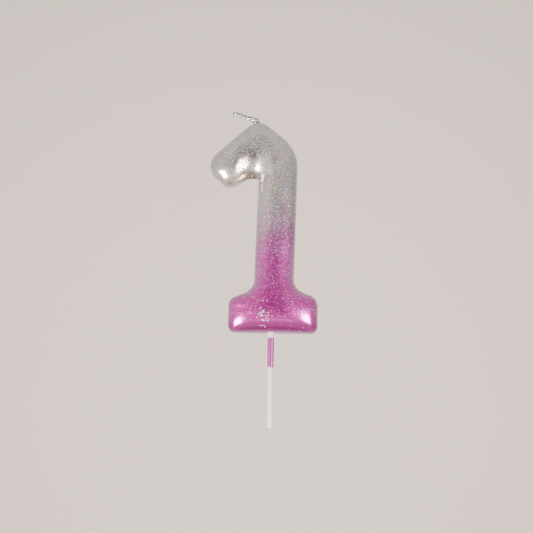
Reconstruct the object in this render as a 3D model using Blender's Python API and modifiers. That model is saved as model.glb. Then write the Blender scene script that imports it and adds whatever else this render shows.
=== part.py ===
"""Number birthday candle: a puffy figure one moulded in wax, with its cotton wick and its plastic pick.

Metres, +Z up, the front faces -Y. The origin is on the pick's axis, at the numeral's flat underside.
"""
import math

import bmesh
import bpy
import numpy as np
from mathutils import Vector
from mathutils.geometry import delaunay_2d_cdt

MM = 0.001
GAP = 0.3               # clearance between the wax and what is cast into it

# The numeral's outline, clockwise from the apex: the corners of a straight-sided figure one
# as x, z and the radius that rounds each of them, in millimetres.
APEX = (-6.5, 87.5, 6.5)
SHOULDER = (9.8, 74.0, 15.0)
STEM_FOOT_RIGHT = (8.6, 17.5, 6.0)
BASE_TOP_RIGHT = (18.2, 13.9, 4.5)
BASE_LOW_RIGHT = (18.2, -0.4, 3.4)
BASE_LOW_LEFT = (-16.9, -0.4, 3.4)
BASE_TOP_LEFT = (-16.9, 13.2, 4.0)
STEM_FOOT_LEFT = (-7.1, 17.0, 6.0)
FLAG_ROOT = (-6.0, 62.2, 0.8)
FLAG_BELLY = (-10.0, 62.3, 4.0)
FLAG_LOW = (-18.0, 57.7, 4.4)
FLAG_END = (-28.5, 67.2, 6.3)
CORNERS = (APEX, SHOULDER, STEM_FOOT_RIGHT, BASE_TOP_RIGHT, BASE_LOW_RIGHT, BASE_LOW_LEFT,
           BASE_TOP_LEFT, STEM_FOOT_LEFT, FLAG_ROOT, FLAG_BELLY, FLAG_LOW, FLAG_END)

HALF_THICKNESS = 7.0    # at the middle of the stem
STEM_SWELL = 31.9       # membrane height at the middle of the stem, in square millimetres
FULLNESS = 0.4          # 0.5 is an elliptical section, less is fuller
RIM_DEPTH = 0.18        # how far inside the outline the first ring of points lies
RINGS = (0.7, 1.6, 3.0)             # and the others
RING_TRUE = 0.96        # a ring's points are kept where they are this close to its own depth
RING_SPACING = 0.9      # least distance between points of one ring
NET = 2.5               # spacing of the points in the middle
ARC_STEP = math.radians(15)
SIDE_STEP = 3.2

# The fold that runs up from the inner corner under the flag, a shallow valley with straight sides.
FOLD_START = (-7.9, 62.8)
FOLD_END = (-8.7, 81.7)
FOLD_BEND = 0.25        # how far the line has bent towards the stem at its end, as a part of its length
FOLD_HOLD = 0.09        # full depth up to here along the line, then it fades out
FOLD_BELOW = 0.22       # how far it runs on past its start, as a part of its length
FOLD_DEPTH = 2.8
FOLD_ON_FLAG = 8.1      # how far its side reaches towards the flag's end
FOLD_ON_STEM = 8.0
FOLD_BOTTOM = 0.49      # how round the valley's bottom is
FOLD_EDGE = 0.12        # how softly its sides run out
FOLD_AWAY = (2.2, 1.2)  # gone at this many widths from the line, fading over this many
FOLD_RIM = 0.6          # full depth only where the body is at least this full

WICK_RADIUS = 0.75
WICK_ROUND = 3          # extra corners in each quarter of the cord's section
# Centre line from the cut tip, over the fold at the apex and down inside the stem: x, z, thickness.
WICK_LINE = ((-16.9, 89.3, 0.95), (-15.6, 89.4, 1.0), (-14.2, 89.1, 0.9), (-12.8, 88.5, 1.0),
             (-11.3, 88.0, 0.9), (-9.9, 87.6, 1.05), (-8.6, 87.3, 1.2), (-7.7, 86.7, 1.3),
             (-7.2, 85.7, 1.15), (-7.0, 84.4, 1.0), (-6.5, 80.5, 1.0), (-4.9, 76.0, 1.0),
             (-2.4, 71.5, 1.0), (-0.2, 67.0, 1.0), (1.1, 61.5, 1.0), (1.4, 55.0, 1.0), (1.1, 24.0, 1.0))
BORE_FIRST = 8          # the wick line's point where it enters the wax
BORE_MOUTH = (-7.3, 87.4, 1.4)      # flared end above the wax: x, z, relative width
BORE_ENTRY = 1.3                    # relative width where the wick goes in

PICK_RADIUS = 1.3
PICK_TIP_RADIUS = 1.12
PICK_FREE = 36.8        # stands out below the numeral
PICK_SUNK = 17.0        # cast into the numeral
PICK_ROUND = 0.5        # softens both of its ends
PICK_SIDES = 24

CLEARED = (60.0, 40.0, 5.0)     # block that trims the underside flat


def clear_scene():
    for thing in list(bpy.data.objects):
        bpy.data.objects.remove(thing, do_unlink=True)


def collection(name):
    made = bpy.data.collections.new(name)
    bpy.context.scene.collection.children.link(made)
    return made


def material(name, colour, roughness, metallic):
    made = bpy.data.materials.new(name)
    made.use_nodes = True
    shader = made.node_tree.nodes["Principled BSDF"]
    shader.inputs["Base Color"].default_value = (*colour, 1.0)
    shader.inputs["Roughness"].default_value = roughness
    shader.inputs["Metallic"].default_value = metallic
    made.diffuse_color = (*colour, 1.0)
    return made


def add(name, mesh, home, finish=None):
    made = bpy.data.objects.new(name, mesh)
    home.objects.link(made)
    if finish:
        mesh.materials.append(finish)
    return made


def rounded_outline(corners, arc_step, side_step):
    """The outline as points: each corner becomes an arc, each straight side is split evenly."""
    arcs = []
    for here, (x, z, radius) in enumerate(corners):
        tip = np.array((x, z))
        back = np.array(corners[here - 1][:2]) - tip
        ahead = np.array(corners[(here + 1) % len(corners)][:2]) - tip
        back /= np.linalg.norm(back)
        ahead /= np.linalg.norm(ahead)
        half = math.acos(float(back @ ahead)) / 2
        run = radius / math.tan(half)
        middle = back + ahead
        centre = tip + middle / np.linalg.norm(middle) * radius / math.sin(half)
        start = tip + back * run - centre
        end = tip + ahead * run - centre
        first = math.atan2(start[1], start[0])
        turn = math.atan2(end[1], end[0]) - first
        turn = (turn + math.pi) % (2 * math.pi) - math.pi
        steps = max(3, math.ceil(abs(turn) / arc_step))
        angles = first + turn * np.arange(steps + 1) / steps
        arcs.append(centre + radius * np.stack((np.cos(angles), np.sin(angles)), axis=1))
    points = []
    for here, arc in enumerate(arcs):
        points.extend(arc)
        end = arc[-1]
        following = arcs[(here + 1) % len(arcs)][0]
        pieces = max(1, math.ceil(np.linalg.norm(following - end) / side_step))
        for piece in range(1, pieces):
            points.append(end + (following - end) * piece / pieces)
    return np.array(points)


def distance_to(points, outline):
    """Distance from each point to the closed outline."""
    start = outline[None, :, :]
    side = np.roll(outline, -1, axis=0)[None, :, :] - start
    to_point = points[:, None, :] - start
    along = np.clip((to_point * side).sum(2) / (side * side).sum(2), 0, 1)
    return np.linalg.norm(to_point - along[:, :, None] * side, axis=2).min(axis=1)


def inside(points, outline):
    """Whether each point is inside the closed outline."""
    x, z = points[:, 0][:, None], points[:, 1][:, None]
    x0, z0 = outline[:, 0][None, :], outline[:, 1][None, :]
    x1, z1 = np.roll(x0, -1, axis=1), np.roll(z0, -1, axis=1)
    spans = (z0 > z) != (z1 > z)
    rise = np.where(z1 == z0, 1.0, z1 - z0)
    return (spans & (x < (x1 - x0) * (z - z0) / rise + x0)).sum(axis=1) % 2 == 1


def flat_net(outline):
    """Triangles that fill the outline: rings close to the rim and an even net in the middle."""
    ahead = np.roll(outline, -1, axis=0) - np.roll(outline, 1, axis=0)
    inward = np.stack((ahead[:, 1], -ahead[:, 0]), axis=1)
    inward /= np.linalg.norm(inward, axis=1)[:, None]
    points = list(outline) + list(outline + inward * RIM_DEPTH)
    for depth in RINGS:
        ring = outline + inward * depth
        good = inside(ring, outline) & (distance_to(ring, outline) > RING_TRUE * depth)
        kept = []
        for point in ring[good]:
            if all(np.linalg.norm(point - other) > RING_SPACING for other in kept):
                kept.append(point)
        points.extend(kept)
    low = outline.min(axis=0)
    high = outline.max(axis=0)
    rows = np.arange(low[1], high[1], NET * math.sqrt(0.75))
    net = np.array([(x + NET / 2 * (row % 2), z) for row, z in enumerate(rows)
                    for x in np.arange(low[0], high[0], NET)])
    deep = inside(net, outline) & (distance_to(net, outline) > RINGS[-1] + NET / 3)
    points.extend(net[deep])
    rim = [list(range(len(outline)))]
    flat, _, faces, _, _, _ = delaunay_2d_cdt([Vector(point) for point in points], [], rim, 1, 1e-6)
    return np.array([tuple(point) for point in flat]), np.array(faces)


def membrane(points, faces, on_rim):
    """Height of an evenly blown-up membrane that is held at the rim."""
    count = len(points)
    stiffness = np.zeros((count, count))
    load = np.zeros(count)
    for first in range(3):
        a = faces[:, first]
        b = faces[:, (first + 1) % 3]
        c = faces[:, (first + 2) % 3]
        to_a = points[a] - points[c]
        to_b = points[b] - points[c]
        area = np.abs(to_a[:, 0] * to_b[:, 1] - to_a[:, 1] * to_b[:, 0])
        pull = (to_a * to_b).sum(axis=1) / area / 2
        np.add.at(stiffness, (a, b), -pull)
        np.add.at(stiffness, (b, a), -pull)
        np.add.at(stiffness, (a, a), pull)
        np.add.at(stiffness, (b, b), pull)
        np.add.at(load, a, area / 6)
    free = ~on_rim
    height = np.zeros(count)
    height[free] = np.linalg.solve(stiffness[np.ix_(free, free)], load[free])
    return height


def eased(value, full):
    """Goes smoothly from 0 to 1 as value goes from 0 to full."""
    part = np.clip(value / full, 0, 1)
    return part * part * (3 - 2 * part)


def fold(points):
    """Depth of the fold under the flag at each point."""
    start = np.array(FOLD_START)
    line = np.array(FOLD_END) - start
    length = np.hypot(*line)
    along = ((points - start) @ line) / length ** 2
    side = ((points[:, 0] - start[0]) * line[1] - (points[:, 1] - start[1]) * line[0]) / length
    side -= FOLD_BEND * length * np.clip(along, 0, 1) ** 2
    away = np.abs(side) / np.where(side < 0, FOLD_ON_FLAG, FOLD_ON_STEM)
    slope = 1 - np.hypot(away, FOLD_BOTTOM)
    slope = slope + np.hypot(slope, FOLD_EDGE)
    slope /= 1 - FOLD_BOTTOM + math.hypot(1 - FOLD_BOTTOM, FOLD_EDGE)
    ends = eased(1 - along, 1 - FOLD_HOLD) * eased(along + FOLD_BELOW, FOLD_BELOW)
    return FOLD_DEPTH * slope * ends * eased(FOLD_AWAY[0] - away, FOLD_AWAY[1])


def swollen(points, height):
    """How far the skin stands out from the middle plane, less the fold."""
    puff = (np.maximum(height, 0) / STEM_SWELL) ** FULLNESS
    return HALF_THICKNESS * puff - fold(points) * np.clip(puff / FOLD_RIM, 0, 1)


def front_half():
    """The front of the numeral, open along its rim in the plane y = 0."""
    outline = rounded_outline(CORNERS, ARC_STEP, SIDE_STEP)
    points, faces = flat_net(outline)
    on_rim = distance_to(points, outline) < 1e-4
    height = membrane(points, faces, on_rim)
    out = swollen(points, height)
    mesh = bmesh.new()
    corners = [mesh.verts.new((x * MM, -y * MM, z * MM)) for (x, z), y in zip(points, out)]
    for face in faces:
        mesh.faces.new([corners[corner] for corner in face])
    made = bpy.data.meshes.new("wax_numeral")
    mesh.to_mesh(made)
    mesh.free()
    return made


def numeral(home, finish):
    made = add("wax_numeral", front_half(), home, finish)
    mirror = made.modifiers.new("back", "MIRROR")
    mirror.use_axis = (False, True, False)
    mirror.merge_threshold = 0.00001
    return made


def tube(name, line, radius, home, finish=None):
    """A closed round cord along a line of x, z and relative thickness."""
    curve = bpy.data.curves.new(name, "CURVE")
    curve.dimensions = "3D"
    curve.bevel_depth = radius * MM
    curve.bevel_resolution = WICK_ROUND
    curve.use_fill_caps = True
    spline = curve.splines.new("POLY")
    spline.points.add(len(line) - 1)
    for point, (x, z, thickness) in zip(spline.points, line):
        point.co = (x * MM, 0, z * MM, 1)
        point.radius = thickness
    drawn = bpy.data.objects.new(name, curve)
    home.objects.link(drawn)
    bpy.context.view_layer.update()
    seen = drawn.evaluated_get(bpy.context.evaluated_depsgraph_get())
    mesh = bpy.data.meshes.new_from_object(seen)
    bpy.data.objects.remove(drawn, do_unlink=True)
    welded = bmesh.new()
    welded.from_mesh(mesh)
    bmesh.ops.remove_doubles(welded, verts=welded.verts[:], dist=0.00001)
    bmesh.ops.recalc_face_normals(welded, faces=welded.faces[:])
    welded.to_mesh(mesh)
    welded.free()
    mesh.name = name
    return add(name, mesh, home, finish)


def turned(name, profile, home, finish=None):
    """A solid turned about Z from radius and height pairs that run down from the axis to the axis."""
    mesh = bmesh.new()
    line = [mesh.verts.new((r * MM, 0, z * MM)) for r, z in profile]
    for pair in zip(line, line[1:]):
        mesh.edges.new(pair)
    made = bpy.data.meshes.new(name)
    mesh.to_mesh(made)
    mesh.free()
    thing = add(name, made, home, finish)
    screw = thing.modifiers.new("turn", "SCREW")
    screw.axis = "Z"
    screw.steps = PICK_SIDES
    screw.render_steps = PICK_SIDES
    screw.use_merge_vertices = True
    screw.merge_threshold = 0.00001
    screw.use_smooth_shade = True
    return thing


def block(name, size, centre, home):
    bpy.ops.mesh.primitive_cube_add(size=1, location=[value * MM for value in centre])
    made = bpy.context.object
    made.name = name
    made.scale = [value * MM for value in size]
    bpy.context.collection.objects.unlink(made)
    home.objects.link(made)
    return made


def cut(body, cutter):
    modifier = body.modifiers.new("cut_" + cutter.name, "BOOLEAN")
    modifier.operation = "DIFFERENCE"
    modifier.solver = "EXACT"
    modifier.object = cutter
    cutter.hide_render = True
    cutter.display_type = "WIRE"


def smooth(thing, sharp=math.radians(50)):
    for face in thing.data.polygons:
        face.use_smooth = True
    thing.data.set_sharp_from_angle(angle=sharp)


def stick_profile(grow):
    """Half section of the pick from its sunk end to its tip, grown by a clearance."""
    top = PICK_SUNK + grow
    side = PICK_RADIUS + grow
    tip = PICK_TIP_RADIUS + grow
    low = -PICK_FREE - grow
    soft = PICK_ROUND
    shallow = soft * (1 - math.sqrt(0.5))
    return ((0, top), (side - soft, top), (side - shallow, top - shallow), (side, top - soft), (side, 0),
            (tip, low + soft), (tip - shallow, low + shallow), (tip - soft, low), (0, low))


def wick_bore(home):
    """Cutter for the wick's channel: flared where the wick comes out, closed at its lower end."""
    sunk = [(x, z, 1.0) for x, z, _ in WICK_LINE[BORE_FIRST + 1:]]
    entry = (*WICK_LINE[BORE_FIRST][:2], BORE_ENTRY)
    deepest = (sunk[-1][0], sunk[-1][1] - GAP, 1.0)
    return tube("wick_bore", [BORE_MOUTH, entry] + sunk[:-1] + [deepest], WICK_RADIUS + GAP, home)


def build():
    clear_scene()
    candle = collection("number_birthday_candle")
    cutters = collection("cutters")
    wax = material("lacquered_wax", (0.62, 0.30, 0.49), 0.28, 0.85)
    cord = material("waxed_cord", (0.60, 0.60, 0.60), 0.4, 0.6)
    plastic = material("clear_plastic", (0.86, 0.85, 0.83), 0.3, 0.0)

    body = numeral(candle, wax)
    smooth(body)
    smooth(tube("wick", WICK_LINE, WICK_RADIUS, candle, cord))
    turned("pick", stick_profile(0), candle, plastic)

    cut(body, block("below_underside", CLEARED, (0, 0, -CLEARED[2] / 2), cutters))
    cut(body, wick_bore(cutters))
    cut(body, turned("pick_socket", stick_profile(GAP), cutters))


build()
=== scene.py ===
"""Looks of the number birthday candle: lacquered glitter wax, silver wick, clear plastic pick.

Everything is in metres in the CAD frame: +Z up, the front faces -Y, and the origin is on the pick's axis at
the numeral's underside. Lengths are written in millimetres and turned into metres where a mesh is made.
"""
import math
from collections import namedtuple

import bmesh
import bpy
import numpy as np
from mathutils import Matrix, Vector
from mathutils.geometry import delaunay_2d_cdt


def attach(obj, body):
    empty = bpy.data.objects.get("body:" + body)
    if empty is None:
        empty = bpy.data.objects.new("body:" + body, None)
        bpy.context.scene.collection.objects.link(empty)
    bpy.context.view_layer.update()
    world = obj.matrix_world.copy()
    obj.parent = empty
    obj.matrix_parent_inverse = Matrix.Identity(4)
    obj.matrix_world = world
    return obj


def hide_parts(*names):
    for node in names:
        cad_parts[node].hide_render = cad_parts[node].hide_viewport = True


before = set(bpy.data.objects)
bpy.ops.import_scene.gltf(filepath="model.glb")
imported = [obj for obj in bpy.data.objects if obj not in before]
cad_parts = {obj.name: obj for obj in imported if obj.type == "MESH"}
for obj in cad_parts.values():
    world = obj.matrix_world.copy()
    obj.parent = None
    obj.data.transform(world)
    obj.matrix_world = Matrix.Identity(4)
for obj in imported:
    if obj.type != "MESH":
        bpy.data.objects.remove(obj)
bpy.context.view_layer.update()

MM = 0.001
BODY = "root"

# ---------------------------------------------------------------- numeral's form, as in part.py

# Corners of the figure one, clockwise from the apex: x, z and the radius that rounds each, in mm.
APEX = (-6.5, 87.5, 6.5)
SHOULDER = (9.8, 74.0, 15.0)
STEM_FOOT_RIGHT = (8.6, 17.5, 6.0)
BASE_TOP_RIGHT = (18.2, 13.9, 4.5)
BASE_LOW_RIGHT = (18.2, -0.4, 3.4)
BASE_LOW_LEFT = (-16.9, -0.4, 3.4)
BASE_TOP_LEFT = (-16.9, 13.2, 4.0)
STEM_FOOT_LEFT = (-7.1, 17.0, 6.0)
FLAG_ROOT = (-6.0, 62.2, 0.8)
FLAG_BELLY = (-10.0, 62.3, 4.0)
FLAG_LOW = (-18.0, 57.7, 4.4)
FLAG_END = (-28.5, 67.2, 6.3)
CORNERS = (APEX, SHOULDER, STEM_FOOT_RIGHT, BASE_TOP_RIGHT, BASE_LOW_RIGHT, BASE_LOW_LEFT,
           BASE_TOP_LEFT, STEM_FOOT_LEFT, FLAG_ROOT, FLAG_BELLY, FLAG_LOW, FLAG_END)

HALF_THICKNESS = 7.0
STEM_SWELL = 31.9       # the membrane's height in the middle of the stem
FULLNESS = 0.4          # power that turns the membrane's height into the puffy section
LAND_SOFTNESS = 0.3     # how softly the underside turns into the sides, where part.py cuts it sharp

# Fineness of the mesh, which is finer than in part.py.
RIM_DEPTH = 0.3         # the first ring of points inside the outline
RIM_STEPS = 9           # rows of faces between the outline and that ring
RINGS = (0.62, 1.05, 1.6, 2.25, 3.0)    # depths of the rings further in
RING_TRUE = 0.97        # a ring's point is kept if it is this much of the ring's depth from the outline
RING_SPACING = 0.34
RING_NEAR = 6           # a ring's new point is compared with this many at either end of those kept
NET = 0.75              # spacing of the points in the middle
ARC_STEP = math.radians(5)
SIDE_STEP = 0.7
RIM_REACH = 1e-4        # a point this close to the outline is on it
WELD = 1e-7             # metres
NET_WELD = 1e-7         # millimetres
MOST_STEPS = 2000       # in solving for the membrane
STILL = 1e-7            # how close to rest the membrane is when solving stops

# The fold that runs up from the inner corner under the flag, a shallow valley with straight sides.
FOLD_START = (-7.9, 62.8)
FOLD_END = (-8.7, 81.7)
FOLD_BEND = 0.25        # how far the line has bent towards the stem at its end, as a part of its length
FOLD_HOLD = 0.09        # full depth up to here along the line, then it fades out
FOLD_DEPTH = 2.8
FOLD_ON_FLAG = 8.1      # how far its side reaches towards the flag's end
FOLD_ON_STEM = 8.0
FOLD_BOTTOM = 0.49      # how round the valley's bottom is
FOLD_EDGE = 0.12        # how softly its sides run out
FOLD_BELOW = 0.22       # how far it runs on past its start, as a part of its length
FOLD_AWAY = (2.2, 1.2)  # gone at this many widths from the line, fading over this many
FOLD_RIM = 0.6          # full depth only where the body is at least this full

# ---------------------------------------------------------------- wick and pick

# The pick is part.py's in a finer mesh. The wick's line is part.py's too, moved by at most 0.23 mm at its tip
# and at the knot where it enters the wax, and thicker at that knot. The strands are only here.

WICK_RADIUS = 0.75
WICK_LAY = 5.2          # length in which the strands go round once
WICK_STEP = 0.3
STRANDS = 3
STRAND_SIDES = 14
STRAND_LAY = 0.36       # a strand's distance from the middle and its radius, as parts of the wick's radius
STRAND_THICK = 0.80
STRAND_UNEVEN = 0.08    # how much a strand's thickness varies, and how often along it
UNEVEN_TURNS = 4.1
UNEVEN_APART = 2.0
# Centre line from the cut tip, over the fold at the apex and down inside the stem: x, z, thickness.
WICK_LINE = ((-16.9, 89.2, 0.9), (-15.6, 89.4, 1.0), (-14.2, 89.1, 0.9), (-12.8, 88.5, 1.0),
             (-11.3, 88.0, 0.9), (-9.9, 87.6, 1.05), (-8.6, 87.2, 1.2), (-7.6, 86.5, 1.55),
             (-7.1, 85.5, 1.65), (-7.0, 84.4, 1.2), (-6.5, 80.5, 1.0), (-4.9, 76.0, 1.0),
             (-2.4, 71.5, 1.0), (-0.2, 67.0, 1.0), (1.1, 61.5, 1.0), (1.4, 55.0, 1.0), (1.1, 24.0, 1.0))
PICK_RADIUS = 1.3
PICK_TIP_RADIUS = 1.12
PICK_FREE = 36.8
PICK_SUNK = 17.0
PICK_SOFT = 0.5         # softens both of its ends
PICK_SIDES = 64
PICK_ARC = 7            # points on each softened end
PICK_ROWS = (6, 12)     # rows of points along the sunk length and the free one
PICK_BARE = (3, 2)      # no rows this close to the top and under the numeral, nor to the lower end
PICK_WELD = 1e-6        # metres


# ---------------------------------------------------------------- shape helpers

def rounded_outline(corners, arc_step, side_step):
    """The outline as points: each corner becomes an arc, each straight side is split evenly."""
    arcs = []
    for here, (x, z, radius) in enumerate(corners):
        tip = np.array((x, z))
        back = np.array(corners[here - 1][:2]) - tip
        ahead = np.array(corners[(here + 1) % len(corners)][:2]) - tip
        back /= np.linalg.norm(back)
        ahead /= np.linalg.norm(ahead)
        half = math.acos(float(back @ ahead)) / 2
        run = radius / math.tan(half)
        middle = back + ahead
        centre = tip + middle / np.linalg.norm(middle) * radius / math.sin(half)
        start = tip + back * run - centre
        end = tip + ahead * run - centre
        first = math.atan2(start[1], start[0])
        turn = math.atan2(end[1], end[0]) - first
        turn = (turn + math.pi) % (2 * math.pi) - math.pi
        steps = max(3, math.ceil(abs(turn) / arc_step))
        angles = first + turn * np.arange(steps + 1) / steps
        arcs.append(centre + radius * np.stack((np.cos(angles), np.sin(angles)), axis=1))
    points = []
    for here, arc in enumerate(arcs):
        points.extend(arc)
        end = arc[-1]
        following = arcs[(here + 1) % len(arcs)][0]
        pieces = max(1, math.ceil(np.linalg.norm(following - end) / side_step))
        for piece in range(1, pieces):
            points.append(end + (following - end) * piece / pieces)
    return np.array(points)


def distance_to(points, outline):
    """Distance from each point to the closed outline."""
    start = outline[None, :, :]
    side = np.roll(outline, -1, axis=0)[None, :, :] - start
    to_point = points[:, None, :] - start
    along = np.clip((to_point * side).sum(2) / (side * side).sum(2), 0, 1)
    return np.linalg.norm(to_point - along[:, :, None] * side, axis=2).min(axis=1)


def inside(points, outline):
    """Whether each point is inside the closed outline."""
    x, z = points[:, 0][:, None], points[:, 1][:, None]
    x0, z0 = outline[:, 0][None, :], outline[:, 1][None, :]
    x1, z1 = np.roll(x0, -1, axis=1), np.roll(z0, -1, axis=1)
    spans = (z0 > z) != (z1 > z)
    rise = np.where(z1 == z0, 1.0, z1 - z0)
    return (spans & (x < (x1 - x0) * (z - z0) / rise + x0)).sum(axis=1) % 2 == 1


def flat_net(outline):
    """Triangles that fill the outline: rings close to the rim and an even net in the middle."""
    ahead = np.roll(outline, -1, axis=0) - np.roll(outline, 1, axis=0)
    inward = np.stack((ahead[:, 1], -ahead[:, 0]), axis=1)
    inward /= np.linalg.norm(inward, axis=1)[:, None]
    points = list(outline) + list(outline + inward * RIM_DEPTH)
    for depth in RINGS:
        ring = outline + inward * depth
        good = inside(ring, outline) & (distance_to(ring, outline) > RING_TRUE * depth)
        kept = []
        for point in ring[good]:
            near = kept[-RING_NEAR:] + kept[:RING_NEAR]
            if all(np.hypot(*(point - other)) > RING_SPACING for other in near):
                kept.append(point)
        points.extend(kept)
    low = outline.min(axis=0)
    high = outline.max(axis=0)
    rows = np.arange(low[1], high[1], NET * math.sqrt(0.75))
    net = np.array([(x + NET / 2 * (row % 2), z) for row, z in enumerate(rows)
                    for x in np.arange(low[0], high[0], NET)])
    deep = inside(net, outline) & (distance_to(net, outline) > RINGS[-1] + NET / 2)
    points.extend(net[deep])
    rim = [list(range(len(outline)))]
    places = [Vector(point) for point in points]
    flat, _, faces, _, _, _ = delaunay_2d_cdt(places, [], rim, 1, NET_WELD)
    return np.array([tuple(point) for point in flat]), np.array(faces)


def membrane(points, faces, on_rim):
    """Height of an evenly blown-up membrane held at the rim, by conjugate gradients."""
    count = len(points)
    rows, columns, pulls = [], [], []
    load = np.zeros(count)
    for first in range(3):
        a, b, c = faces[:, first], faces[:, (first + 1) % 3], faces[:, (first + 2) % 3]
        to_a = points[a] - points[c]
        to_b = points[b] - points[c]
        area = np.abs(to_a[:, 0] * to_b[:, 1] - to_a[:, 1] * to_b[:, 0])
        pull = (to_a * to_b).sum(axis=1) / area / 2
        rows += [a, b, a, b]
        columns += [b, a, a, b]
        pulls += [-pull, -pull, pull, pull]
        np.add.at(load, a, area / 6)
    rows, columns, pulls = np.concatenate(rows), np.concatenate(columns), np.concatenate(pulls)
    free = ~on_rim

    def stiffness(x):
        return np.bincount(rows, pulls * x[columns], count) * free

    scale = np.bincount(rows, pulls * (rows == columns), count)
    height = np.zeros(count)
    rest = load * free
    step = rest / scale
    now = rest @ step
    for _ in range(MOST_STEPS):
        pushed = stiffness(step)
        reach = now / (step @ pushed)
        height += reach * step
        rest = rest - reach * pushed
        if np.abs(rest).max() < STILL:
            break
        scaled = rest / scale
        after = rest @ scaled
        step = scaled + after / now * step
        now = after
    return height


def eased(value, full):
    """Goes smoothly from 0 to 1 as value goes from 0 to full."""
    part = np.clip(value / full, 0, 1)
    return part * part * (3 - 2 * part)


def fold(points):
    """Depth of the fold under the flag at each point."""
    start = np.array(FOLD_START)
    line = np.array(FOLD_END) - start
    length = np.hypot(*line)
    along = ((points - start) @ line) / length ** 2
    side = ((points[:, 0] - start[0]) * line[1] - (points[:, 1] - start[1]) * line[0]) / length
    side -= FOLD_BEND * length * np.clip(along, 0, 1) ** 2
    away = np.abs(side) / np.where(side < 0, FOLD_ON_FLAG, FOLD_ON_STEM)
    slope = 1 - np.hypot(away, FOLD_BOTTOM)
    slope = slope + np.hypot(slope, FOLD_EDGE)
    slope /= 1 - FOLD_BOTTOM + math.hypot(1 - FOLD_BOTTOM, FOLD_EDGE)
    ends = eased(1 - along, 1 - FOLD_HOLD) * eased(along + FOLD_BELOW, FOLD_BELOW)
    return FOLD_DEPTH * slope * ends * eased(FOLD_AWAY[0] - away, FOLD_AWAY[1])


def swollen(points, height):
    """How far the skin stands out from the middle plane, less the fold."""
    puff = (np.maximum(height, 0) / STEM_SWELL) ** FULLNESS
    return HALF_THICKNESS * puff - fold(points) * np.clip(puff / FOLD_RIM, 0, 1)


def settled(z):
    """Height above the underside once the lower rim is pressed flat."""
    return (z + np.sqrt(z * z + LAND_SOFTNESS ** 2)) / 2


def linked(name, mesh, finish):
    """An object with this mesh and material, in the scene."""
    made = bpy.data.objects.new(name, mesh)
    bpy.context.scene.collection.objects.link(made)
    mesh.materials.append(finish)
    return made


def numeral_piece(finish):
    """The puffy figure: both halves swell out of one rim."""
    outline = rounded_outline(CORNERS, ARC_STEP, SIDE_STEP)
    points, faces = flat_net(outline)
    on_rim = distance_to(points, outline) < RIM_REACH
    height = membrane(points, faces, on_rim)
    count = len(outline)
    inner = faces[~on_rim[faces].any(axis=1)]
    mesh = bmesh.new()
    swell = swollen(points, height)
    for side in (-1, 1):
        rows = [[mesh.verts.new((x * MM, 0, settled(z) * MM)) for x, z in outline]]
        for row in range(1, RIM_STEPS):
            part = (row / RIM_STEPS) ** (1 / FULLNESS)
            place = outline + (points[count:2 * count] - outline) * part
            out = swollen(place, height[count:2 * count] * part)
            rows.append([mesh.verts.new((x * MM, side * y * MM, settled(z) * MM))
                         for (x, z), y in zip(place, out)])
        body = {}
        for here in set(inner.ravel().tolist()) | set(range(count, 2 * count)):
            x, z = points[here]
            body[here] = mesh.verts.new((x * MM, side * swell[here] * MM, settled(z) * MM))
        rows.append([body[count + here] for here in range(count)])
        for outer, closer in zip(rows, rows[1:]):
            for here in range(count):
                after = (here + 1) % count
                corners = (outer[here], outer[after], closer[after], closer[here])
                mesh.faces.new(corners if side < 0 else corners[::-1])
        for face in inner:
            corners = [body[corner] for corner in face]
            mesh.faces.new(corners if side < 0 else corners[::-1])
    bmesh.ops.remove_doubles(mesh, verts=mesh.verts[:], dist=WELD)
    bmesh.ops.recalc_face_normals(mesh, faces=mesh.faces[:])
    for face in mesh.faces:
        face.smooth = True
    made = bpy.data.meshes.new("numeral")
    mesh.to_mesh(made)
    mesh.free()
    return linked("numeral", made, finish)


# ---------------------------------------------------------------- material helpers

def node(tree, kind, feeds=None, **settings):
    """A shader node with its settings, and its inputs from numbers or from other sockets."""
    made = tree.nodes.new(kind)
    for name, value in settings.items():
        setattr(made, name, value)
    for place, value in (feeds or {}).items():
        if isinstance(value, bpy.types.NodeSocket):
            tree.links.new(value, made.inputs[place])
        else:
            made.inputs[place].default_value = value
    return made


def calc(tree, operation, a, b=0.0):
    """The result of a maths node."""
    return node(tree, "ShaderNodeMath", {0: a, 1: b}, operation=operation).outputs[0]


def product(tree, first, *others):
    """All the numbers multiplied together."""
    for other in others:
        first = calc(tree, "MULTIPLY", first, other)
    return first


def largest(tree, first, *others):
    """The largest of the numbers."""
    for other in others:
        first = calc(tree, "MAXIMUM", first, other)
    return first


def vector_calc(tree, operation, a, b=(0, 0, 0), scale=None):
    """The result of a vector maths node."""
    feeds = {0: a, 1: b}
    if scale is not None:
        feeds["Scale"] = scale
    return node(tree, "ShaderNodeVectorMath", feeds, operation=operation).outputs[0]


def times(tree, vector, factor):
    """The vector made longer by a factor."""
    return vector_calc(tree, "SCALE", vector, scale=factor)


def mix(tree, factor, a, b):
    """The colour a where factor is 0, and b where it is 1."""
    return node(tree, "ShaderNodeMix", {0: factor, 6: a, 7: b}, data_type="RGBA").outputs[2]


def blend(tree, factor, a, b):
    """The number a where factor is 0, and b where it is 1."""
    return node(tree, "ShaderNodeMix", {0: factor, 2: a, 3: b}, data_type="FLOAT").outputs[0]


def spread(tree, value, low, high, to_low=0.0, to_high=1.0):
    """Smoothly takes value from low..high to to_low..to_high."""
    feeds = {"Value": value, "From Min": low, "From Max": high, "To Min": to_low, "To Max": to_high}
    return node(tree, "ShaderNodeMapRange", feeds, interpolation_type="SMOOTHSTEP").outputs[0]


def noise(tree, place, scale, detail=2.0):
    """Clouds from 0 to 1."""
    feeds = {"Vector": place, "Scale": scale, "Detail": detail, "Roughness": 0.5}
    return node(tree, "ShaderNodeTexNoise", feeds).outputs["Fac"]


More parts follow.
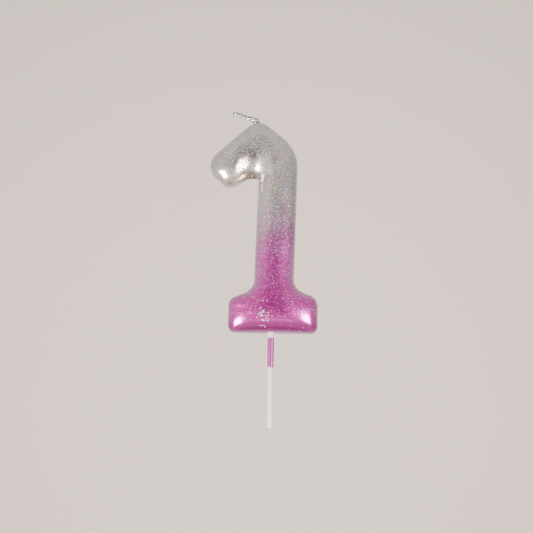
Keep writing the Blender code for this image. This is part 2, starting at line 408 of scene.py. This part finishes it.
def split(tree, vector):
    """The three parts of a vector."""
    return tuple(node(tree, "ShaderNodeSeparateXYZ", {0: vector}).outputs)


def new_material(name):
    """A material, its nodes and its shader."""
    made = bpy.data.materials.new(name)
    made.use_nodes = True
    return made, made.node_tree, made.node_tree.nodes["Principled BSDF"]


def in_mm(tree):
    """Object coordinates in millimetres."""
    return times(tree, node(tree, "ShaderNodeTexCoord").outputs["Object"], 1 / MM)


def rgb(red, green, blue):
    """A colour given as it looks, 0 to 255, as the linear values that shaders take."""
    def linear(value):
        value /= 255
        return value / 12.92 if value <= 0.04045 else ((value + 0.055) / 1.055) ** 2.4
    return (linear(red), linear(green), linear(blue), 1.0)


# ---------------------------------------------------------------- lacquer

# Colours are linear. Places and lengths are in mm. A fade is the value where it starts and where it is full.
# The side colours are painted reflection: lit and shaded copies of the front colours.
SILVER_FRONT = (0.63, 0.54, 0.525, 1)
SILVER_SIDE_SHEEN = (0.60, 0.52, 0.47, 1)
PINK_FRONT = (0.62, 0.05, 0.39, 1)
PINK_SIDE_SHEEN = (0.61, 0.16, 0.44, 1)
FOOT_FRONT = (0.64, 0.04, 0.38, 1)
FOOT_SIDE_SHEEN = (0.57, 0.10, 0.40, 1)
# Painted shade: the darker band above the underside.
FOOT_SHADE_BAND = (0.46, 0.03, 0.25, 1)
# A warmer painted reflection for the flag's underside.
CHAMPAGNE_UNDER_SHEEN = (0.70, 0.57, 0.47, 1)
# Painted shade colours: the dark corner under the flag and the dark head of the fold.
CORNER_PAINTED_SHADE = (0.31, 0.24, 0.19, 1)
HEAD_PAINTED_SHADE = (0.21, 0.175, 0.17, 1)
SMEAR_COLOUR = (0.84, 0.0, 0.36, 1)
CHIP_COLOUR = (0.30, 0.62, 0.34, 1)
BLUE = (0.30, 0.58, 0.92, 1)

FACING = (0.66, 0.98)           # how squarely the skin faces front or back; the sides between get a painted reflection
PINK_FADE = (57.0, 27.0)        # heights in which silver turns into magenta
DEEP_FADE = (26.0, 8.0)         # and magenta into the foot's deeper colour
FOOT_FADE = (14.5, 11.0)
CLOUD_SCALE = 0.12
CLOUD_RISE = 12.0               # how far the clouds move the fades up and down

THIN_SHADED_ACROSS = (1.5, 5.0)        # the right of the stem, where the silver is thin and painted shade darkens it
THIN_SHADED_TOP = (72.0, 62.0)
THIN_SHADED_FOOT = (31.0, 38.0)
THIN_RISE = 4.0                 # how much higher the magenta reaches there
# How much painted shade darkens the right of the stem.
RIGHT_PAINTED_SHADE = 0.28
UNDER_FACING = (-0.25, -0.7)    # the flag's underside gets a warmer painted reflection
UNDER_ACROSS = (-6.5, -9.0)
SHADE_BAND_TOP = (4.4, 2.4)           # the darker painted shade band above the underside
SHADE_BAND_FOOT = (0.2, 1.4)
# Strengths of the painted shade in the corner, at the fold's head and in the band above the underside.
CORNER_SHADE_SHOW = 0.9
HEAD_SHADE_SHOW = 0.8
SHADE_BAND_SHOW = 0.8

# A spot is an ellipse seen from the front, and full is the part of its reach where it is at full strength.
Spot = namedtuple("Spot", "centre reach full")
# CORNER darkens the colour there as painted shade; it also bares the glitter and dulls the coat.
CORNER = Spot((-9.4, 0.0, 62.4), (5.0, 3.4), 0.3)
# Painted shade at the head of the fold: a dark reflection painted into the colour.
FOLD_HEAD_SHADE = Spot((-9.0, 0.0, 71.0), (7.0, 3.4), 0.15)
DUSTY = Spot((-12.4, 0.0, 67.2), (4.2, 5.2), 0.35)
BLUE_FLAKES = Spot((5.6, 0.0, 59.5), (3.4, 7.0), 0.3)
CLUMP = Spot((-3.6, 0.0, 5.6), (4.6, 5.0), 0.1)
SMEAR = Spot((-12.2, 0.0, 9.6), (3.8, 1.4), 0.3)
CHIP = Spot((-12.4, 0.0, 9.8), (0.9, 0.4), 0.5)

# A layer of glitter: the cells that hold one flake each, a flake's radius, and a shift that makes it its own.
Layer = namedtuple("Layer", "cell radius offset")
DUST = Layer(0.36, 1.0, (5.2, 1.9, 7.4))        # a radius past the cell's size fills every cell
FINE = Layer(0.5, 0.15, (3.1, 7.7, 1.3))
LARGE = Layer(1.2, 0.19, (9.2, 2.4, 5.8))
CLUMPED = Layer(0.95, 0.32, (4.3, 8.2, 2.9))
ON_PICK = Layer(0.55, 0.16, (1.7, 4.4, 8.1))
EVERY_CELL = 2.0
FLAKE_VALUE = 0.95

# Pairs are on silver and on magenta.
FINE_AMOUNT = (0.8, 0.5)
FINE_SATURATION = (0.66, 0.9)
FINE_SHOW = (0.85, 0.42)
LARGE_AMOUNT = 0.3
LARGE_SATURATION = 0.5
LARGE_SHOW = 0.5
CLUMP_SATURATION = 0.35
CLUMP_SHOW = 0.55
BLUE_SHOW = 0.8

FLAG_SLOPE = 0.45               # the flag's bare end is cut off along a line that slopes by this
FLAG_BARE = (-15.5, -8.5)
FLAG_ABOVE = (50.0, 56.0)
RIM_BARE = (8.0, 4.0)
BARENESS = 0.93
DRIFT_SCALE = 0.22              # glitter lies in drifts
DRIFT_FADE = (0.35, 0.65)
DRIFT = (0.55, 1.25)
GRAIN = (0.25, 0.3)             # how much the dust varies the tone, everywhere and more where it is thick
TORN_SCALE = 1.1                # the smear's ragged edge
TORN = (0.36, 0.50)

DUST_LEAN = (0.12, 0.24)        # how far dust tips the surface, elsewhere and on the dusty spot
FLAKE_LEAN = 0.3
SKIN_ROUGH = (0.17, 0.27)       # bare, and under glitter
DUSTY_ROUGH = -0.05
FLAKE_ROUGH = 0.4
METALLIC = (0.9, 0.45)          # skin, and flakes
COAT = (0.95, 0.4)              # clear, and where dust or thin lacquer dulls it
COAT_ROUGH = 0.13


def flakes(tree, place, layer, amount, saturation):
    """One layer of glitter: where a flake is, its colour, how its face is tipped, and a random value."""
    moved = vector_calc(tree, "ADD", place, layer.offset)
    cells = node(tree, "ShaderNodeTexVoronoi", {"Vector": moved, "Scale": 1 / layer.cell})
    parts = node(tree, "ShaderNodeSeparateColor", {"Color": cells.outputs["Color"]})
    there = calc(tree, "LESS_THAN", parts.outputs[0], amount)
    small = calc(tree, "LESS_THAN", cells.outputs["Distance"], layer.radius / layer.cell)
    colour = {0: parts.outputs[1], 1: saturation, 2: FLAKE_VALUE}
    hue = node(tree, "ShaderNodeCombineColor", colour, mode="HSV").outputs[0]
    tip = vector_calc(tree, "SUBTRACT", cells.outputs["Color"], (0.5, 0.5, 0.5))
    return product(tree, there, small), hue, tip, parts.outputs[2]


def in_spot(tree, place, spot):
    """1 inside the spot, fading to 0 at its edge."""
    apart = vector_calc(tree, "SUBTRACT", place, spot.centre)
    apart = vector_calc(tree, "MULTIPLY", apart, (1 / spot.reach[0], 0, 1 / spot.reach[1]))
    away = node(tree, "ShaderNodeVectorMath", {0: apart}, operation="LENGTH").outputs["Value"]
    return spread(tree, away, 1.0, spot.full)


def varied(tree, value, amount):
    """How far a value that goes from 0 to 1 is from its middle, times amount."""
    return product(tree, calc(tree, "SUBTRACT", value, 0.5), amount)


def sprayed(tree, place, normal, pink, height, thin_and_shaded, corner):
    """The lacquer's colour with painted light: the sides are a painted reflection, lighter or darker copies
    of the front colours, and painted shade darkens the corner, the fold's head, the right of the stem and a
    band above the underside.
    """
    x, _, z = split(tree, place)
    _, facing_y, facing_z = split(tree, normal)
    # Sides get a painted reflection: the side colours take over where the skin turns away from front and
    # back.
    faces_front = spread(tree, calc(tree, "ABSOLUTE", facing_y), *FACING)
    front = mix(tree, pink, SILVER_FRONT, PINK_FRONT)
    front = mix(tree, spread(tree, height, *DEEP_FADE), front, FOOT_FRONT)
    # The flag's underside gets a warmer painted reflection.
    under_sheen = product(tree, spread(tree, facing_z, *UNDER_FACING), spread(tree, x, *UNDER_ACROSS))
    side = mix(tree, pink, mix(tree, under_sheen, SILVER_SIDE_SHEEN, CHAMPAGNE_UNDER_SHEEN), PINK_SIDE_SHEEN)
    side = mix(tree, spread(tree, z, *FOOT_FADE), side, FOOT_SIDE_SHEEN)
    colour = mix(tree, faces_front, side, front)
    # Painted shade: the colour is darkened in the tight corner under the flag and at the head of the fold.
    head_shade = in_spot(tree, place, FOLD_HEAD_SHADE)
    colour = mix(tree, product(tree, corner, CORNER_SHADE_SHOW), colour, CORNER_PAINTED_SHADE)
    colour = mix(tree, product(tree, head_shade, HEAD_SHADE_SHOW), colour, HEAD_PAINTED_SHADE)
    # Painted shade darkens the right of the stem, where the silver is also thin.
    colour = times(tree, colour, calc(tree, "SUBTRACT", 1.0, product(tree, thin_and_shaded, RIGHT_PAINTED_SHADE)))
    # Painted shade: a darker band just above the underside.
    shade_band = product(tree, spread(tree, z, *SHADE_BAND_TOP), spread(tree, z, *SHADE_BAND_FOOT))
    return mix(tree, product(tree, shade_band, SHADE_BAND_SHOW), colour, FOOT_SHADE_BAND)


def glitter_cover(tree, place, corner):
    """Glitter is thick on the stem, elbow and foot, and thin at the flag's end and the lower rim."""
    x, _, z = split(tree, place)
    to_end = calc(tree, "ADD", product(tree, x, -1.0), product(tree, z, -FLAG_SLOPE))
    flag_bare = product(tree, spread(tree, to_end, *FLAG_BARE), spread(tree, z, *FLAG_ABOVE))
    bare = largest(tree, flag_bare, corner, spread(tree, z, *RIM_BARE))
    cover = calc(tree, "SUBTRACT", 1.0, product(tree, bare, BARENESS))
    return product(tree, cover, spread(tree, noise(tree, place, DRIFT_SCALE), *DRIFT_FADE, *DRIFT))


def lacquer(name):
    """Metallic lacquer from silver to magenta, with holographic glitter under a clear coat."""
    made, tree, shader = new_material(name)
    place = in_mm(tree)
    x, _, z = split(tree, place)
    normal = node(tree, "ShaderNodeNewGeometry").outputs["Normal"]
    on_front = calc(tree, "LESS_THAN", split(tree, normal)[1], 0.0)
    height = calc(tree, "ADD", z, varied(tree, noise(tree, place, CLOUD_SCALE, 3.0), CLOUD_RISE))
    thin_and_shaded = product(tree, spread(tree, x, *THIN_SHADED_ACROSS), spread(tree, z, *THIN_SHADED_TOP),
                   spread(tree, z, *THIN_SHADED_FOOT))
    height = calc(tree, "SUBTRACT", height, product(tree, thin_and_shaded, THIN_RISE))
    pink = spread(tree, height, *PINK_FADE)
    corner = in_spot(tree, place, CORNER)
    colour = sprayed(tree, place, normal, pink, height, thin_and_shaded, corner)

    cover = glitter_cover(tree, place, corner)
    _, _, dust_tip, dust_tone = flakes(tree, place, DUST, EVERY_CELL, 0.0)
    amount = product(tree, cover, blend(tree, pink, *FINE_AMOUNT))
    saturation = blend(tree, pink, *FINE_SATURATION)
    fine, fine_hue, fine_tip, _ = flakes(tree, place, FINE, amount, saturation)
    fine_hue = mix(tree, product(tree, in_spot(tree, place, BLUE_FLAKES), BLUE_SHOW), fine_hue, BLUE)
    amount = product(tree, cover, LARGE_AMOUNT)
    large, large_hue, large_tip, _ = flakes(tree, place, LARGE, amount, LARGE_SATURATION)
    grain = calc(tree, "ADD", GRAIN[0], product(tree, cover, GRAIN[1]))
    colour = times(tree, colour, calc(tree, "ADD", 1.0, varied(tree, dust_tone, grain)))
    colour = mix(tree, product(tree, fine, blend(tree, pink, *FINE_SHOW)), colour, fine_hue)
    colour = mix(tree, product(tree, large, LARGE_SHOW), colour, large_hue)

    # A clump of bigger flakes has stuck low on the foot's front, with a chipped smear of colour beside it.
    at_clump = product(tree, in_spot(tree, place, CLUMP), on_front)
    clump, clump_hue, _, _ = flakes(tree, place, CLUMPED, at_clump, CLUMP_SATURATION)
    colour = mix(tree, product(tree, clump, CLUMP_SHOW), colour, clump_hue)
    at_smear = product(tree, in_spot(tree, place, SMEAR), on_front)
    smeared = product(tree, at_smear, spread(tree, noise(tree, place, TORN_SCALE, 3.0), *TORN))
    colour = mix(tree, smeared, colour, SMEAR_COLOUR)
    colour = mix(tree, product(tree, in_spot(tree, place, CHIP), at_smear), colour, CHIP_COLOUR)

    # Dust lies thickest on the flag beside the fold. Every flake tips the surface its own way.
    dusty = in_spot(tree, place, DUSTY)
    leans = ((dust_tip, product(tree, cover, blend(tree, dusty, *DUST_LEAN))),
             (fine_tip, product(tree, fine, FLAKE_LEAN)),
             (large_tip, product(tree, large, FLAKE_LEAN)))
    tipped = normal
    for tip, amount in leans:
        tipped = vector_calc(tree, "ADD", tipped, times(tree, tip, amount))
    tipped = vector_calc(tree, "NORMALIZE", tipped)
    on_flake = largest(tree, fine, large, clump, smeared)
    rough = calc(tree, "ADD", blend(tree, cover, *SKIN_ROUGH), product(tree, dusty, DUSTY_ROUGH))
    tree.links.new(colour, shader.inputs["Base Color"])
    tree.links.new(tipped, shader.inputs["Normal"])
    tree.links.new(tipped, shader.inputs["Coat Normal"])
    tree.links.new(blend(tree, on_flake, rough, FLAKE_ROUGH), shader.inputs["Roughness"])
    tree.links.new(blend(tree, on_flake, *METALLIC), shader.inputs["Metallic"])
    tree.links.new(blend(tree, largest(tree, dusty, corner), *COAT), shader.inputs["Coat Weight"])
    shader.inputs["Coat Roughness"].default_value = COAT_ROUGH
    return made


# ---------------------------------------------------------------- wick and pick materials

GROOVE = (140, 136, 136)        # colours as they look, 0 to 255
WORN = (222, 219, 218)
WORN_SCALE = 1.3
WORN_FADE = (0.38, 0.62)
CORD_ROUGH = (0.34, 0.18)       # in the grooves, and where it is worn
CORD_METALLIC = 0.9

MILKY = ((254, 240, 226), (255, 247, 236))
MILKY_SCALE = 0.35
PAINT = (190, 78, 158)
PAINT_LOWER = (-14.0, -13.2)    # heights in which the painted band's lower edge fades
PAINT_UPPER = (-1.2, -2.4)      # and its upper one
RAGGED_SCALE = 0.9
RAGGED_REACH = 2.4
PAINT_FLAKES = 0.6
PAINT_SATURATION = 0.4
PAINT_SHOW = 0.5
PAINT_METALLIC = 0.7
PAINT_ROUGH = 0.3
PLASTIC_ROUGH = (0.12, 0.2)
PLASTIC_CLEAR = 0.4
PLASTIC_IOR = 1.49


def silver_cord(name):
    """Silvered cotton, dull in the grooves and bright where it is worn."""
    made, tree, shader = new_material(name)
    worn = spread(tree, noise(tree, in_mm(tree), WORN_SCALE, 3.0), *WORN_FADE)
    tree.links.new(mix(tree, worn, rgb(*GROOVE), rgb(*WORN)), shader.inputs["Base Color"])
    tree.links.new(blend(tree, worn, *CORD_ROUGH), shader.inputs["Roughness"])
    shader.inputs["Metallic"].default_value = CORD_METALLIC
    return made


def stick_plastic(name):
    """Clear, faintly milky plastic whose upper part has caught the magenta lacquer."""
    made, tree, shader = new_material(name)
    place = in_mm(tree)
    edge = calc(tree, "ADD", split(tree, place)[2],
                varied(tree, noise(tree, place, RAGGED_SCALE, 3.0), RAGGED_REACH))
    painted = product(tree, spread(tree, edge, *PAINT_LOWER), spread(tree, edge, *PAINT_UPPER))
    cloud = noise(tree, place, MILKY_SCALE)
    clear = mix(tree, cloud, rgb(*MILKY[0]), rgb(*MILKY[1]))
    on, hue, _, _ = flakes(tree, place, ON_PICK, PAINT_FLAKES, PAINT_SATURATION)
    paint = mix(tree, product(tree, on, PAINT_SHOW), rgb(*PAINT), hue)
    rough = blend(tree, painted, blend(tree, cloud, *PLASTIC_ROUGH), PAINT_ROUGH)
    tree.links.new(mix(tree, painted, clear, paint), shader.inputs["Base Color"])
    tree.links.new(blend(tree, painted, 0.0, PAINT_METALLIC), shader.inputs["Metallic"])
    tree.links.new(blend(tree, painted, PLASTIC_CLEAR, 0.0), shader.inputs["Transmission Weight"])
    tree.links.new(rough, shader.inputs["Roughness"])
    shader.inputs["IOR"].default_value = PLASTIC_IOR
    return made


# ---------------------------------------------------------------- pieces

def smooth_line(line, step):
    """Evenly spaced places along a smooth curve through the line's points: x, z and thickness."""
    given = np.array(line)
    reach = np.concatenate(([0], np.cumsum(np.hypot(*np.diff(given[:, :2], axis=0).T))))
    places = np.linspace(0, reach[-1], int(reach[-1] / step) + 1)
    ends = np.vstack((2 * given[0] - given[1], given, 2 * given[-1] - given[-2]))
    out = []
    for place in places:
        here = min(int(np.searchsorted(reach, place, side="right")) - 1, len(given) - 2)
        t = (place - reach[here]) / (reach[here + 1] - reach[here])
        a, b, c, d = ends[here:here + 4]
        out.append(0.5 * (2 * b + (c - a) * t + (2 * a - 5 * b + 4 * c - d) * t ** 2
                          + (3 * b - a - 3 * c + d) * t ** 3))
    return np.array(out), places


def wick_piece(finish):
    """Three cotton strands twisted together, closed at both ends."""
    line, places = smooth_line(WICK_LINE, WICK_STEP)
    ahead = np.gradient(line[:, :2], axis=0)
    ahead /= np.linalg.norm(ahead, axis=1)[:, None]
    depth = np.array((0, 1, 0))
    mesh = bmesh.new()
    for strand in range(STRANDS):
        rings = []
        for (x, z, size), (dx, dz), place in zip(line, ahead, places):
            across = np.array((-dz, 0, dx))
            turn = 2 * math.pi * (strand / STRANDS + place / WICK_LAY)
            out = math.cos(turn) * across + math.sin(turn) * depth
            centre = np.array((x, 0, z)) + STRAND_LAY * WICK_RADIUS * size * out
            uneven = 1 + STRAND_UNEVEN * math.sin(place * UNEVEN_TURNS + strand * UNEVEN_APART)
            radius = STRAND_THICK * WICK_RADIUS * size * uneven
            ring = []
            for a in np.linspace(0, 2 * math.pi, STRAND_SIDES, endpoint=False):
                spoke = math.cos(a) * across + math.sin(a) * depth
                ring.append(mesh.verts.new((centre + radius * spoke) * MM))
            rings.append(ring)
        for ring, after in zip(rings, rings[1:]):
            for side in range(STRAND_SIDES):
                far = (side + 1) % STRAND_SIDES
                mesh.faces.new((ring[side], ring[far], after[far], after[side]))
        mesh.faces.new(rings[0][::-1])
        mesh.faces.new(rings[-1])
    bmesh.ops.recalc_face_normals(mesh, faces=mesh.faces[:])
    for face in mesh.faces:
        face.smooth = len(face.verts) == 4
    made = bpy.data.meshes.new("wick_strands")
    mesh.to_mesh(made)
    mesh.free()
    return linked("wick_strands", made, finish)


def pick_piece(finish):
    """The stick, turned about Z, with softened ends."""
    soft = PICK_SOFT
    narrowing = (PICK_TIP_RADIUS - PICK_RADIUS) / PICK_FREE
    arc = [(soft * math.sin(a), soft * math.cos(a)) for a in np.linspace(0, math.pi / 2, PICK_ARC)]
    profile = [(0, PICK_SUNK)] + [(PICK_RADIUS - soft + r, PICK_SUNK - soft + h) for r, h in arc]
    upper, lower = PICK_BARE
    profile += [(PICK_RADIUS, z) for z in np.linspace(PICK_SUNK - upper, 0, PICK_ROWS[0])]
    profile += [(PICK_RADIUS - narrowing * z, z)
                for z in np.linspace(-upper, -PICK_FREE + lower, PICK_ROWS[1])]
    profile += [(PICK_TIP_RADIUS - soft + r, -PICK_FREE + soft - h) for r, h in arc[::-1]]
    profile += [(0, -PICK_FREE)]
    mesh = bmesh.new()
    line = [mesh.verts.new((r * MM, 0, z * MM)) for r, z in profile]
    edges = [mesh.edges.new(pair) for pair in zip(line, line[1:])]
    bmesh.ops.spin(mesh, geom=line + edges, cent=(0, 0, 0), axis=(0, 0, 1), angle=2 * math.pi,
                   steps=PICK_SIDES, use_merge=True)
    bmesh.ops.remove_doubles(mesh, verts=mesh.verts[:], dist=PICK_WELD)
    bmesh.ops.recalc_face_normals(mesh, faces=mesh.faces[:])
    for face in mesh.faces:
        face.smooth = True
    made = bpy.data.meshes.new("pick_stick")
    mesh.to_mesh(made)
    mesh.free()
    return linked("pick_stick", made, finish)


# ---------------------------------------------------------------- stage

TILT = math.radians(11)         # the camera looks up by this much
ROLL = math.radians(1)
CAMERA_DISTANCE = 423 * MM
LOOK_AT = Vector((-2.2, 0, 26.5)) * MM
LENS = 72.2
CLIP_START = 0.01               # metres


def aim(place, target):
    """Rotation that points an object's -Z from place to target."""
    return (Vector(target) - Vector(place)).to_track_quat("-Z", "Y").to_euler()


def camera():
    """Straight in front of the candle, a little below it and looking up."""
    data = bpy.data.cameras.new("camera")
    data.lens = LENS
    data.clip_start = CLIP_START
    made = bpy.data.objects.new("camera", data)
    bpy.context.scene.collection.objects.link(made)
    ahead = Vector((0, math.cos(TILT), math.sin(TILT)))
    level = Vector((1, 0, 0))
    up = Vector((0, -math.sin(TILT), math.cos(TILT)))
    right = level * math.cos(ROLL) + up * math.sin(ROLL)
    up = up * math.cos(ROLL) - level * math.sin(ROLL)
    turned = Matrix((right, up, -ahead)).transposed()
    made.matrix_world = Matrix.Translation(LOOK_AT - ahead * CAMERA_DISTANCE) @ turned.to_4x4()
    bpy.context.scene.camera = made


# Lamps, aimed at the candle's middle: name, direction, distance, width and height in metres, and watts.
LIT = Vector((0, 0, 45)) * MM
LAMPS = (("left_low", (-0.66, -0.57, -0.49), 0.42, 0.16, 0.17, 4.2),
         ("right_low", (0.66, -0.68, -0.30), 0.42, 0.15, 0.16, 2.6),
         ("front_fill", (0.03, -0.75, -0.66), 0.5, 0.25, 0.08, 0.05))
WASH = ("backdrop_wash", (0.0, 1.0, 0.0), 0.12, 1.2, 1.2, 9.3)
WASH_COLOUR = (1.0, 0.78, 0.65)

# The sweep, in metres.
SWEEP_COLOUR = (0.72, 0.665, 0.63, 1)
SWEEP_ROUGH = 0.9
SWEEP_FLOOR = -0.34
SWEEP_FRONT = -1.6
SWEEP_BACK = 0.75
SWEEP_BEND = 0.35
SWEEP_STEPS = 13
SWEEP_TOP = 1.8
SWEEP_HALF = 2.0


def softbox(name, direction, distance, width, height, power):
    """A flat lamp that the camera doesn't see, aimed at the candle's middle."""
    data = bpy.data.lights.new(name, "AREA")
    data.shape = "RECTANGLE"
    data.size = width
    data.size_y = height
    data.energy = power
    made = bpy.data.objects.new(name, data)
    bpy.context.scene.collection.objects.link(made)
    made.location = LIT + Vector(direction).normalized() * distance
    made.rotation_euler = aim(made.location, LIT)
    made.visible_camera = False
    return made


def sweep():
    """A pale floor that turns up behind the candle."""
    paint, _, shader = new_material("sweep_paint")
    shader.inputs["Base Color"].default_value = SWEEP_COLOUR
    shader.inputs["Roughness"].default_value = SWEEP_ROUGH
    bend = SWEEP_BEND
    outline = [(SWEEP_FRONT, SWEEP_FLOOR)]
    outline += [(SWEEP_BACK - bend + bend * math.sin(a), SWEEP_FLOOR + bend - bend * math.cos(a))
                for a in np.linspace(0, math.pi / 2, SWEEP_STEPS)]
    outline += [(SWEEP_BACK, SWEEP_TOP)]
    mesh = bmesh.new()
    left = [mesh.verts.new((-SWEEP_HALF, y, z)) for y, z in outline]
    right = [mesh.verts.new((SWEEP_HALF, y, z)) for y, z in outline]
    for here in range(len(outline) - 1):
        face = mesh.faces.new((left[here], right[here], right[here + 1], left[here + 1]))
        face.smooth = True
    made = bpy.data.meshes.new("sweep")
    mesh.to_mesh(made)
    mesh.free()
    backdrop = linked("sweep", made, paint)
    backdrop.visible_glossy = False


# Darker parts of the room, as direction, half angles in degrees where full and where gone, and brightness.
DARK_PARTS = (((0.0, -0.97, 0.22), 10, 42, 0.46),
              ((0.0, -0.99, -0.10), 5, 22, 0.22),
              ((1.0, -0.10, 0.10), 20, 55, 0.66),
              ((0.0, 0.04, -1.0), 8, 26, 0.4))
ROOM = 0.86
ROOM_SEEN = 0.62        # its brightness where the camera sees it past the sweep
ROOM_COLOUR = (1.0, 0.97, 0.945, 1)


def surroundings():
    """An even pale room with darker parts in front, right and below, for the lacquer to mirror."""
    world = bpy.data.worlds.new("studio")
    world.use_nodes = True
    tree = world.node_tree
    ray = node(tree, "ShaderNodeTexCoord").outputs["Generated"]
    bright = ROOM
    for direction, full, gone, level in DARK_PARTS:
        towards = {0: ray, 1: Vector(direction).normalized()}
        near = node(tree, "ShaderNodeVectorMath", towards, operation="DOT_PRODUCT").outputs["Value"]
        amount = spread(tree, near, math.cos(math.radians(gone)), math.cos(math.radians(full)))
        bright = blend(tree, amount, bright, level)
    seen = node(tree, "ShaderNodeLightPath").outputs["Is Camera Ray"]
    background = tree.nodes["Background"]
    background.inputs["Color"].default_value = ROOM_COLOUR
    tree.links.new(blend(tree, seen, bright, ROOM_SEEN), background.inputs["Strength"])
    bpy.context.scene.world = world


def studio():
    """The sweep, the room, two low lamps with a faint one between, and a wash on the backdrop."""
    sweep()
    surroundings()
    for lamp in LAMPS:
        softbox(*lamp)
    wash = softbox(*WASH)
    wash.data.color = WASH_COLOUR
    wash.rotation_euler = aim((0, 0, 0), (0, 1, 0))


def place(piece, slot, *replaced):
    """The piece rides the fixed body and stands for these CAD nodes. The slot is not used."""
    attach(piece, BODY)
    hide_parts(*replaced)


def main():
    camera()
    studio()
    place(numeral_piece(lacquer("lacquered_wax_glitter")), "lacquered_wax", "wax_numeral")
    place(wick_piece(silver_cord("silver_cord")), "waxed_cord", "wick")
    place(pick_piece(stick_plastic("milky_plastic")), "clear_plastic", "pick")


main()
